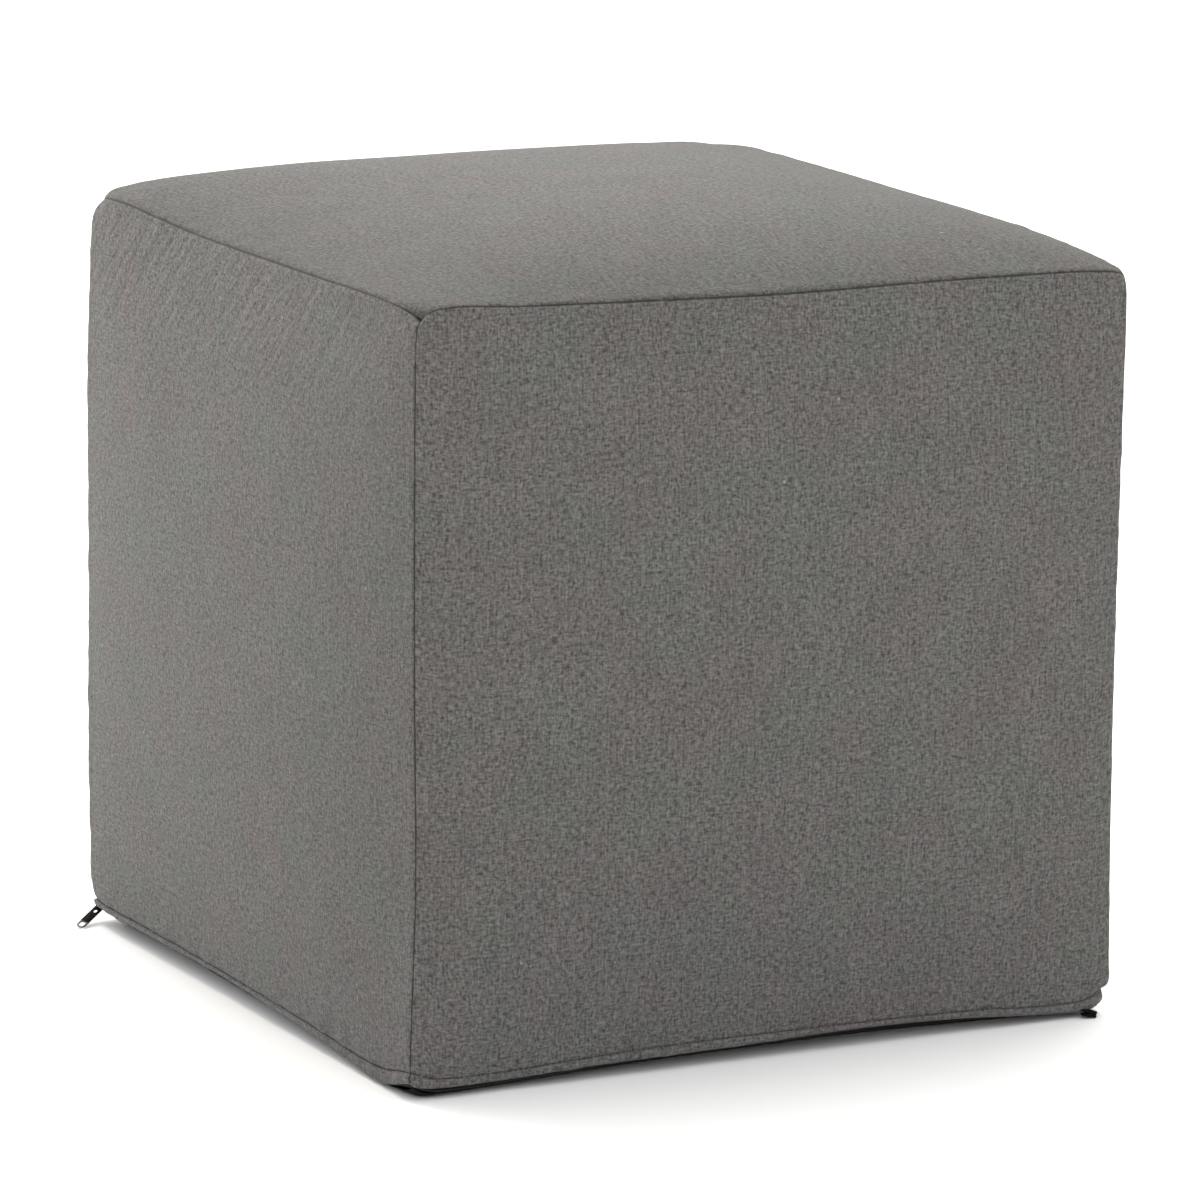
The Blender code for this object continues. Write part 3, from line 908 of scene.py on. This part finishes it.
def slider(name, place, turned, size, finish):
    """A zip slider lying flat: two shields, the post between them, side flanges and a bridge."""
    shield = []
    for i in range(ARC_STEPS + 1):
        angle = math.pi * i / ARC_STEPS
        shield.append((SHIELD_HALF * math.cos(angle),
                       SHIELD_ROUND_FROM + SHIELD_ROUND * math.sin(angle)))
    shield.extend(SHIELD_TAIL)
    shield.extend((-x, y) for x, y in reversed(SHIELD_TAIL))
    low, high = (softened(plate(shield, SHIELD_THICKNESS, height), SHIELD_EDGE)
                 for height in SHIELD_HEIGHTS)
    post = bmesh.new()
    bmesh.ops.create_cone(post, cap_ends=True, segments=24, radius1=POST_RADIUS,
                          radius2=POST_RADIUS, depth=POST_DEPTH)
    bmesh.ops.translate(post, verts=post.verts, vec=(0, 0.0014, -0.0002))
    flanges = []
    for side in (-1, 1):
        flange = bmesh.new()
        bmesh.ops.create_cube(flange, size=1)
        bmesh.ops.scale(flange, vec=FLANGE_SIZE, verts=flange.verts)
        bmesh.ops.rotate(flange, matrix=Matrix.Rotation(side * -FLANGE_TURN, 3, "Z"),
                         verts=flange.verts)
        bmesh.ops.translate(flange, verts=flange.verts, vec=(side * 0.0024, -0.0018, -0.0006))
        flanges.append(softened(flange, 0.00015))
    bridge = bmesh.new()
    bmesh.ops.create_circle(bridge, cap_ends=True, segments=12, radius=BRIDGE_RADIUS)
    bmesh.ops.translate(bridge, verts=bridge.verts, vec=(0, BRIDGE_REACH, 0))
    bmesh.ops.spin(bridge, geom=bridge.verts[:] + bridge.edges[:] + bridge.faces[:],
                   cent=(0, 0, 0), axis=(1, 0, 0), dvec=(0, 0, 0), angle=math.pi, steps=16,
                   use_merge=False, use_normal_flip=False, use_duplicate=False)
    bmesh.ops.scale(bridge, vec=BRIDGE_SHAPE, verts=bridge.verts)
    bmesh.ops.translate(bridge, verts=bridge.verts, vec=(0, 0.0004, 0.0006))
    bm = joined(low, high, post, *flanges, bridge)
    bmesh.ops.recalc_face_normals(bm, faces=bm.faces)
    placed = Matrix.Translation(place) @ turned @ Matrix.Diagonal((*size, 1))
    bmesh.ops.transform(bm, matrix=placed, verts=bm.verts)
    return added(name, bm, finish)


def rounded_outline(half, length, root_half, root_length):
    """Outline of the pull, from its round tip back to its round root."""
    outline = []
    for i in range(ARC_STEPS + 1):
        angle = math.pi * i / ARC_STEPS
        outline.append((half * math.cos(angle), length - half + half * math.sin(angle)))
    outline.append((-half, root_length))
    outline.extend((root_half * math.cos(math.pi * (1 + i / 16)),
                    root_half * math.sin(math.pi * (1 + i / 16))) for i in range(17))
    outline.append((half, root_length))
    return outline


def long_hole(half, length, centre):
    """Outline of a hole with round ends."""
    straight = length / 2 - half
    outline = []
    for i in range(ARC_STEPS):
        angle = 2 * math.pi * i / ARC_STEPS
        y = half * math.sin(angle) + math.copysign(straight, math.sin(angle) + 1e-9)
        outline.append((half * math.cos(angle), centre + y))
    return outline


def pull_tab(enamel, bare):
    """The flat pull: an enamelled strip with a hole at its root and a slot in its bare tip."""
    root, tip = PULL_ROOT_AT, PULL_TIP_AT
    length = (tip - root).length
    along = (tip - root).normalized()
    across = along.cross(Vector((0, 0, 1))).normalized()
    turned = Matrix((across, along, across.cross(along))).transposed().to_4x4()
    placed = Matrix.Translation(root) @ turned @ Matrix.Rotation(-PULL_TWIST, 4, "Y")
    slot_at = length - PULL_RIM - PULL_SLOT_LENGTH / 2
    shapes = {}
    for name, outline, depth in (
        ("zip_pull_tab", rounded_outline(PULL_WIDTH / 2, length, PULL_ROOT_WIDTH / 2, 0.005),
         PULL_THICKNESS),
        ("root_hole", long_hole(PULL_HOLE, PULL_HOLE_LENGTH, PULL_HOLE_AT), 0.006),
        ("tip_slot", long_hole(PULL_SLOT_WIDTH / 2, PULL_SLOT_LENGTH, slot_at), 0.006),
    ):
        shapes[name] = added(name, plate(outline, depth, -depth / 2), enamel, bare)
    tab = shapes["zip_pull_tab"]
    for name in ("root_hole", "tip_slot"):
        cut = tab.modifiers.new(name, "BOOLEAN")
        cut.operation, cut.solver, cut.object = "DIFFERENCE", "EXACT", shapes[name]
    applied(tab)
    for name in ("root_hole", "tip_slot"):
        bpy.data.objects.remove(shapes[name])
    bm = bmesh.new()
    bm.from_mesh(tab.data)
    bmesh.ops.remove_doubles(bm, verts=bm.verts, dist=0.00002)
    softened(bm, 0.00018)
    worn_from = length - PULL_RIM - PULL_SLOT_LENGTH - 0.0004
    bmesh.ops.bisect_plane(bm, geom=bm.verts[:] + bm.edges[:] + bm.faces[:], dist=0.00001,
                           plane_co=(0, worn_from, 0), plane_no=(0, 1, 0))
    for face in bm.faces:
        face.material_index = int(face.calc_center_median().y > worn_from)
    bmesh.ops.transform(bm, matrix=placed, verts=bm.verts)
    bmesh.ops.recalc_face_normals(bm, faces=bm.faces)
    bm.to_mesh(tab.data)
    bm.free()
    tab.data.shade_smooth()
    tab.data.set_sharp_from_angle(angle=math.radians(40))
    return tab


# ---- Finishes ----------------------------------------------------------------------------------


def put(tree, kind, inputs=None, **settings):
    """Adds a node: its settings, then its inputs, each a value or what is linked to it."""
    made = tree.nodes.new(kind)
    for name, value in settings.items():
        setattr(made, name, value)
    for name, value in (inputs or {}).items():
        if isinstance(value, bpy.types.NodeSocket):
            tree.links.new(value, made.inputs[name])
        else:
            made.inputs[name].default_value = value
    return made


def sum_up(tree, operation, *values, clamp=False):
    """The result of a Math node."""
    made = put(tree, "ShaderNodeMath", operation=operation, use_clamp=clamp)
    for socket, value in zip(made.inputs, values):
        if isinstance(value, bpy.types.NodeSocket):
            tree.links.new(value, socket)
        else:
            socket.default_value = value
    return made.outputs[0]


def noisy(tree, vector, scale, detail=2.0, roughness=0.5):
    """The value of a Noise node."""
    return put(tree, "ShaderNodeTexNoise", {"Vector": vector, "Scale": scale, "Detail": detail,
                                            "Roughness": roughness}).outputs["Fac"]


def stretched(tree, vector, scale, turn=0.0):
    """Coordinates turned about Z, then scaled."""
    if turn:
        vector = put(tree, "ShaderNodeMapping",
                     {"Vector": vector, "Rotation": (0, 0, turn)}).outputs["Vector"]
    return put(tree, "ShaderNodeMapping", {"Vector": vector, "Scale": scale}).outputs["Vector"]


def spread_over(tree, value, low, high, to_low=0.0, to_high=1.0):
    """The result of a Map Range node."""
    return put(tree, "ShaderNodeMapRange", {"Value": value, "From Min": low, "From Max": high,
                                            "To Min": to_low, "To Max": to_high}).outputs["Result"]


def tinted(tree, factor, one, other, blend="MIX"):
    """A Mix node of two colours, each a colour or a socket."""
    made = put(tree, "ShaderNodeMix", data_type="RGBA", blend_type=blend)
    for socket, value in zip((made.inputs[0], made.inputs[6], made.inputs[7]),
                             (factor, one, other)):
        if isinstance(value, bpy.types.NodeSocket):
            tree.links.new(value, socket)
        elif isinstance(value, tuple):
            socket.default_value = (*value, 1)
        else:
            socket.default_value = value
    return made.outputs[2]


def effect(name, inputs, outputs):
    """An empty node group with named sockets: its tree, its inputs and its output node."""
    tree = bpy.data.node_groups.new(name, "ShaderNodeTree")
    for socket, kind, value in inputs:
        made = tree.interface.new_socket(socket, in_out="INPUT", socket_type=kind)
        if value is not None:
            made.default_value = value
    for socket, kind in outputs:
        tree.interface.new_socket(socket, in_out="OUTPUT", socket_type=kind)
    return tree, tree.nodes.new("NodeGroupInput").outputs, tree.nodes.new("NodeGroupOutput")


def weave_effect():
    """Plain weave of heathered yarns: the height of the weave and the shade of each yarn."""
    tree, given, out = effect(
        "heathered_weave",
        (("Vector", "NodeSocketVector", None), ("Yarns Per Metre", "NodeSocketFloat", 1400.0)),
        (("Height", "NodeSocketFloat"), ("Shade", "NodeSocketFloat")),
    )
    yarns = put(tree, "ShaderNodeVectorMath", {"Vector": given["Vector"],
                                               "Scale": given["Yarns Per Metre"]},
                operation="SCALE").outputs["Vector"]
    waver = put(tree, "ShaderNodeTexNoise", {"Vector": yarns, "Scale": 0.13}).outputs["Color"]
    moved = put(tree, "ShaderNodeVectorMath", {0: waver, 1: (0.9, 0.9, 0.9), 2: yarns},
                operation="MULTIPLY_ADD").outputs["Vector"]
    split = put(tree, "ShaderNodeSeparateXYZ", {"Vector": moved}).outputs
    rounds = [sum_up(tree, "ABSOLUTE", sum_up(tree, "SINE", sum_up(
        tree, "MULTIPLY", split[axis], math.pi))) for axis in ("X", "Y")]
    over = sum_up(tree, "PINGPONG", sum_up(tree, "ADD", *(
        sum_up(tree, "FLOOR", split[axis]) for axis in ("X", "Y"))), 1.0)
    arches = [sum_up(tree, "MULTIPLY", rounds[i], spread_over(tree, rounds[1 - i], 0, 1, 0.45, 1))
              for i in (0, 1)]
    height = put(tree, "ShaderNodeMix", {0: over, 2: arches[0], 3: arches[1]}).outputs[0]
    warp = noisy(tree, stretched(tree, yarns, (0.52, 0.17, 1)), 1.0, 1.0)
    weft = noisy(tree, stretched(tree, yarns, (0.17, 0.52, 1)), 1.0, 1.0)
    grain = noisy(tree, yarns, 0.40, 3.0, 0.75)
    slub = noisy(tree, stretched(tree, yarns, (0.40, 0.022, 1)), 1.0, 1.0)
    shade = sum_up(tree, "ADD", sum_up(tree, "MULTIPLY", warp, 0.26),
                   sum_up(tree, "MULTIPLY", weft, 0.24))
    shade = sum_up(tree, "MULTIPLY_ADD", grain, 0.40, shade)
    shade = sum_up(tree, "MULTIPLY_ADD", slub, 0.10, shade)
    tree.links.new(height, out.inputs["Height"])
    tree.links.new(spread_over(tree, shade, 0.40, 0.60), out.inputs["Shade"])
    return tree


def clouds_effect():
    """Broad soft patches: one of shade and one of tint."""
    tree, given, out = effect(
        "soft_clouds",
        (("Vector", "NodeSocketVector", None), ("Clouds Per Metre", "NodeSocketFloat", 22.0)),
        (("Shade", "NodeSocketFloat"), ("Tint", "NodeSocketFloat")),
    )
    apart = put(tree, "ShaderNodeMapping", {"Vector": given["Vector"],
                                            "Location": (4.3, 1.7, 2.9)}).outputs["Vector"]
    for vector, name in ((given["Vector"], "Shade"), (apart, "Tint")):
        patch = noisy(tree, vector, given["Clouds Per Metre"], 3.0, 0.6)
        tree.links.new(spread_over(tree, patch, 0.32, 0.68), out.inputs[name])
    return tree


def flecks_effect():
    """Stray fibres: a mask of the pale ones and a mask of the dark ones."""
    tree, given, out = effect(
        "stray_fibres",
        (("Vector", "NodeSocketVector", None), ("Fibres Per Metre", "NodeSocketFloat", 60.0),
         ("Size", "NodeSocketFloat", 0.06)),
        (("Pale", "NodeSocketFloat"), ("Dark", "NodeSocketFloat")),
    )
    bent = put(tree, "ShaderNodeVectorMath", {
        0: put(tree, "ShaderNodeTexNoise", {"Vector": given["Vector"], "Scale": 900.0}
               ).outputs["Color"], 1: (0.0016, 0.0016, 0.0016), 2: given["Vector"]},
        operation="MULTIPLY_ADD").outputs["Vector"]
    cells = put(tree, "ShaderNodeTexVoronoi", {"Vector": bent, "Scale": given["Fibres Per Metre"]})
    near = sum_up(tree, "LESS_THAN", cells.outputs["Distance"], given["Size"])
    chance = put(tree, "ShaderNodeSeparateColor", {"Color": cells.outputs["Color"]}).outputs["Red"]
    for low, high, name in ((0.90, 1.0, "Pale"), (0.0, 0.16, "Dark")):
        picked = sum_up(tree, "MULTIPLY", sum_up(tree, "GREATER_THAN", chance, low),
                        sum_up(tree, "LESS_THAN", chance, high))
        tree.links.new(sum_up(tree, "MULTIPLY", near, picked), out.inputs[name])
    return tree


def finish(name):
    """A new material: its tree and its shader."""
    made = bpy.data.materials.new(name)
    made.use_nodes = True
    return made, made.node_tree, made.node_tree.nodes["Principled BSDF"]


def used(tree, group, inputs):
    """Places a node group with its values, and gives its outputs."""
    made = tree.nodes.new("ShaderNodeGroup")
    made.node_tree = group
    for socket, value in inputs.items():
        if isinstance(value, bpy.types.NodeSocket):
            tree.links.new(value, made.inputs[socket])
        else:
            made.inputs[socket].default_value = value
    return made.outputs


def raised(tree, height, distance, strength=1.0, normal=None):
    """The normal of a Bump node."""
    inputs = {"Height": height, "Distance": distance, "Strength": strength}
    if normal is not None:
        inputs["Normal"] = normal
    return put(tree, "ShaderNodeBump", inputs).outputs["Normal"]


def grey_canvas(weave, clouds, flecks):
    """Heathered outdoor canvas, dark in its seams, partly their dark thread and partly painted
    shade in the seam grooves, with painted shade on the top and left side.
    """
    made, tree, shader = finish("grey_canvas")
    place = put(tree, "ShaderNodeUVMap", uv_map="weave").outputs["UV"]
    seam_dark_and_shade = put(tree, "ShaderNodeAttribute", attribute_name="seam_dark_and_shade").outputs["Fac"]
    drag = put(tree, "ShaderNodeAttribute", attribute_name="drag").outputs["Fac"]
    yarn = used(tree, weave, {"Vector": place, "Yarns Per Metre": CANVAS_YARNS})
    cloud = used(tree, clouds, {"Vector": place, "Clouds Per Metre": 24.0})
    stray = used(tree, flecks, {"Vector": place, "Fibres Per Metre": 55.0, "Size": 0.05})
    colour = tinted(tree, yarn["Shade"], CANVAS_DARK, CANVAS_PALE)
    tint = tinted(tree, cloud["Tint"], GREENER, REDDER)
    colour = tinted(tree, 1.0, colour, tint, "MULTIPLY")
    shade = tinted(tree, cloud["Shade"], CLOUD_DARK, CLOUD_PALE)
    colour = tinted(tree, 1.0, colour, shade, "MULTIPLY")
    # Painted shade: the canvas is darkened on the top towards its seams and on the left side
    # towards its front, standing in for how the light falls.
    painted_shade = put(tree, "ShaderNodeAttribute", attribute_name="painted_shade").outputs["Fac"]
    colour = tinted(tree, painted_shade, colour, (0.0, 0.0, 0.0))
    colour = tinted(tree, sum_up(tree, "MULTIPLY", stray["Pale"], 0.45), colour, PALE_FIBRE)
    colour = tinted(tree, sum_up(tree, "MULTIPLY", stray["Dark"], 0.60), colour, DARK_FIBRE)
    # The dark of the seams and the stitched line: partly their dark thread, partly painted shade in
    # their grooves.
    line = spread_over(tree, seam_dark_and_shade, 0.34, 0.77)
    colour = tinted(tree, sum_up(tree, "MULTIPLY", line, 0.92), colour, SEAM_DARK_AND_SHADE)
    tree.links.new(colour, shader.inputs["Base Color"])
    tree.links.new(spread_over(tree, yarn["Shade"], 0, 1, 0.94, 0.82), shader.inputs["Roughness"])
    shader.inputs["Sheen Weight"].default_value = 0.10
    shader.inputs["Sheen Roughness"].default_value = 0.45
    shader.inputs["Specular IOR Level"].default_value = 0.25
    ripple = noisy(tree, stretched(tree, place, (26, 120, 1), math.radians(48)), 1.0, 2.0, 0.55)
    ripple = sum_up(tree, "MULTIPLY", ripple, drag)
    soft = raised(tree, noisy(tree, place, 95.0, 3.0, 0.5), 0.0008, 0.5)
    soft = raised(tree, ripple, 0.0024, 1.0, soft)
    tree.links.new(raised(tree, yarn["Height"], 0.00011, 0.7, soft), shader.inputs["Normal"])
    return made


def black_cloth(weave, clouds, flecks, name, yarns):
    """Black woven cloth with a faint dusty speckle."""
    made, tree, shader = finish(name)
    place = put(tree, "ShaderNodeTexCoord").outputs["Object"]
    place = put(tree, "ShaderNodeMapping", {"Vector": place, "Location": (0.31, 0.17, 0),
                                            "Rotation": (0.03, 0.02, 0.04)}).outputs["Vector"]
    yarn = used(tree, weave, {"Vector": place, "Yarns Per Metre": yarns})
    cloud = used(tree, clouds, {"Vector": place, "Clouds Per Metre": 60.0})
    stray = used(tree, flecks, {"Vector": place, "Fibres Per Metre": 180.0, "Size": 0.12})
    colour = tinted(tree, yarn["Shade"], (0.001, 0.001, 0.001), (0.010, 0.010, 0.0095))
    colour = tinted(tree, cloud["Shade"], colour,
                    tinted(tree, yarn["Shade"], (0.002, 0.002, 0.002), (0.014, 0.014, 0.013)))
    colour = tinted(tree, sum_up(tree, "MULTIPLY", stray["Pale"], 0.4), colour,
                    (0.10, 0.10, 0.095))
    tree.links.new(colour, shader.inputs["Base Color"])
    tree.links.new(spread_over(tree, yarn["Height"], 0, 1, 0.9, 0.7), shader.inputs["Roughness"])
    shader.inputs["Specular IOR Level"].default_value = 0.08
    tree.links.new(raised(tree, yarn["Height"], 0.00015, 0.8), shader.inputs["Normal"])
    return made


def smooth_finish(clouds, name, dark, pale, rough, metallic, specular=0.3):
    """Enamel, bare metal, nylon or thread: mottled colour and roughness, with fine grain."""
    made, tree, shader = finish(name)
    place = put(tree, "ShaderNodeTexCoord").outputs["Object"]
    cloud = used(tree, clouds, {"Vector": place, "Clouds Per Metre": 900.0})
    tree.links.new(tinted(tree, cloud["Shade"], dark, pale), shader.inputs["Base Color"])
    tree.links.new(spread_over(tree, cloud["Tint"], 0, 1, *rough), shader.inputs["Roughness"])
    shader.inputs["Metallic"].default_value = metallic
    shader.inputs["Specular IOR Level"].default_value = specular
    grain = noisy(tree, place, 4200.0, 2.0, 0.6)
    tree.links.new(raised(tree, grain, 0.00003, 0.5), shader.inputs["Normal"])
    return made


def floor_finish(clouds):
    """Pale matt studio floor."""
    made, tree, shader = finish("pale_floor")
    place = put(tree, "ShaderNodeTexCoord").outputs["Object"]
    cloud = used(tree, clouds, {"Vector": place, "Clouds Per Metre": 1.5})
    tree.links.new(tinted(tree, cloud["Shade"], (0.835, 0.835, 0.835), (0.855, 0.855, 0.855)),
                   shader.inputs["Base Color"])
    shader.inputs["Roughness"].default_value = 0.95
    return made


# ---- Scene -------------------------------------------------------------------------------------


def camera():
    turn, lift, lean = CAMERA_TURN, CAMERA_LIFT, CAMERA_LEAN
    back = Vector((math.sin(turn) * math.cos(lift), -math.cos(turn) * math.cos(lift),
                   math.sin(lift)))
    right = Vector((math.cos(turn), math.sin(turn), 0))
    up = back.cross(right)
    right, up = (right * math.cos(lean) + up * math.sin(lean),
                 up * math.cos(lean) - right * math.sin(lean))
    data = bpy.data.cameras.new("camera")
    data.lens = CAMERA_LENS
    data.sensor_width = 36
    data.shift_x, data.shift_y = CAMERA_SHIFT
    data.clip_end = 100
    made = bpy.data.objects.new("camera", data)
    made.matrix_world = Matrix.Translation(CAMERA_TARGET + CAMERA_AWAY * back) @ Matrix(
        (right, up, back)).transposed().to_4x4()
    bpy.context.scene.collection.objects.link(made)
    bpy.context.scene.camera = made


def lights():
    """A pale room, a broad light from above and behind, and a low softbox beside the left face."""
    world = bpy.data.worlds.new("studio")
    world.use_nodes = True
    sky = world.node_tree.nodes["Background"]
    sky.inputs["Color"].default_value = (1, 1, 1, 1)
    sky.inputs["Strength"].default_value = SKY
    bpy.context.scene.world = world
    key = bpy.data.lights.new("key", "SUN")
    key.angle = math.radians(KEY_WIDTH)
    key.energy = KEY
    key.color = KEY_TINT
    softbox = bpy.data.lights.new("softbox", "AREA")
    softbox.shape = "DISK"
    softbox.size = SOFTBOX_SIZE
    softbox.energy = SOFTBOX
    softbox.color = SOFTBOX_TINT
    for data, place, target in ((key, KEY_FROM, Vector()), (softbox, SOFTBOX_AT, SOFTBOX_TO)):
        made = bpy.data.objects.new(data.name, data)
        made.location = place
        made.rotation_mode = "QUATERNION"
        made.rotation_quaternion = (place - target).to_track_quat("Z", "Y")
        bpy.context.scene.collection.objects.link(made)


def floor(surface):
    bm = bmesh.new()
    bmesh.ops.create_circle(bm, cap_ends=True, segments=96, radius=14)
    mesh = bpy.data.meshes.new("floor")
    bm.to_mesh(mesh)
    bm.free()
    mesh.materials.append(surface)
    made = bpy.data.objects.new("floor", mesh)
    bpy.context.scene.collection.objects.link(made)


def main():
    bpy.context.scene.view_settings.view_transform = "Standard"
    weave, clouds, flecks = weave_effect(), clouds_effect(), flecks_effect()
    camera()
    lights()
    floor(floor_finish(clouds))
    base_black = black_cloth(weave, clouds, flecks, "black_base_cloth", 1100.0)
    tape_black = black_cloth(weave, clouds, flecks, "black_zip_tape", 2600.0)
    nylon = smooth_finish(clouds, "black_nylon", (0.006, 0.006, 0.006), (0.018, 0.018, 0.018),
                          (0.30, 0.50), 0.0)
    enamel = smooth_finish(clouds, "black_enamel", (0.003, 0.003, 0.003), (0.008, 0.008, 0.008),
                           (0.40, 0.60), 0.0, specular=0.02)
    bare = smooth_finish(clouds, "bare_zinc", (0.055, 0.055, 0.055), (0.095, 0.095, 0.092),
                         (0.35, 0.50), 1.0)
    thread = smooth_finish(clouds, "charcoal_thread", (0.012, 0.011, 0.011), (0.034, 0.032, 0.031),
                           (0.60, 0.80), 0.0)
    cover, paths = sewn_cover(grey_canvas(weave, clouds, flecks))
    stitches = hem_stitching(paths, thread)
    base = base_cloth(base_black)
    tape, coil = zip_closure(tape_black, nylon)
    left = slider("zip_slider_left_detailed", SLIDER_LEFT_AT, Matrix.Identity(4), (1, 1, 1),
                  enamel)
    turned = Matrix.Rotation(SLIDER_RIGHT_TILT, 4, "Y") @ Matrix.Rotation(-math.pi / 2, 4, "Z")
    right = slider("zip_slider_right_detailed", SLIDER_RIGHT_AT, turned, (1, 1.1, 1.15), enamel)
    pull = pull_tab(enamel, bare)
    for piece, nodes in ((cover, ("filled_cube",)), (base, ("base_panel",)), (tape, ("zip_tape",)),
                         (left, ("zip_slider_left",)), (right, ("zip_slider_right",)),
                         (pull, ("zip_pull",)), (stitches, ()), (coil, ())):
        if nodes:
            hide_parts(*nodes)
        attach(piece, BODY)


main()
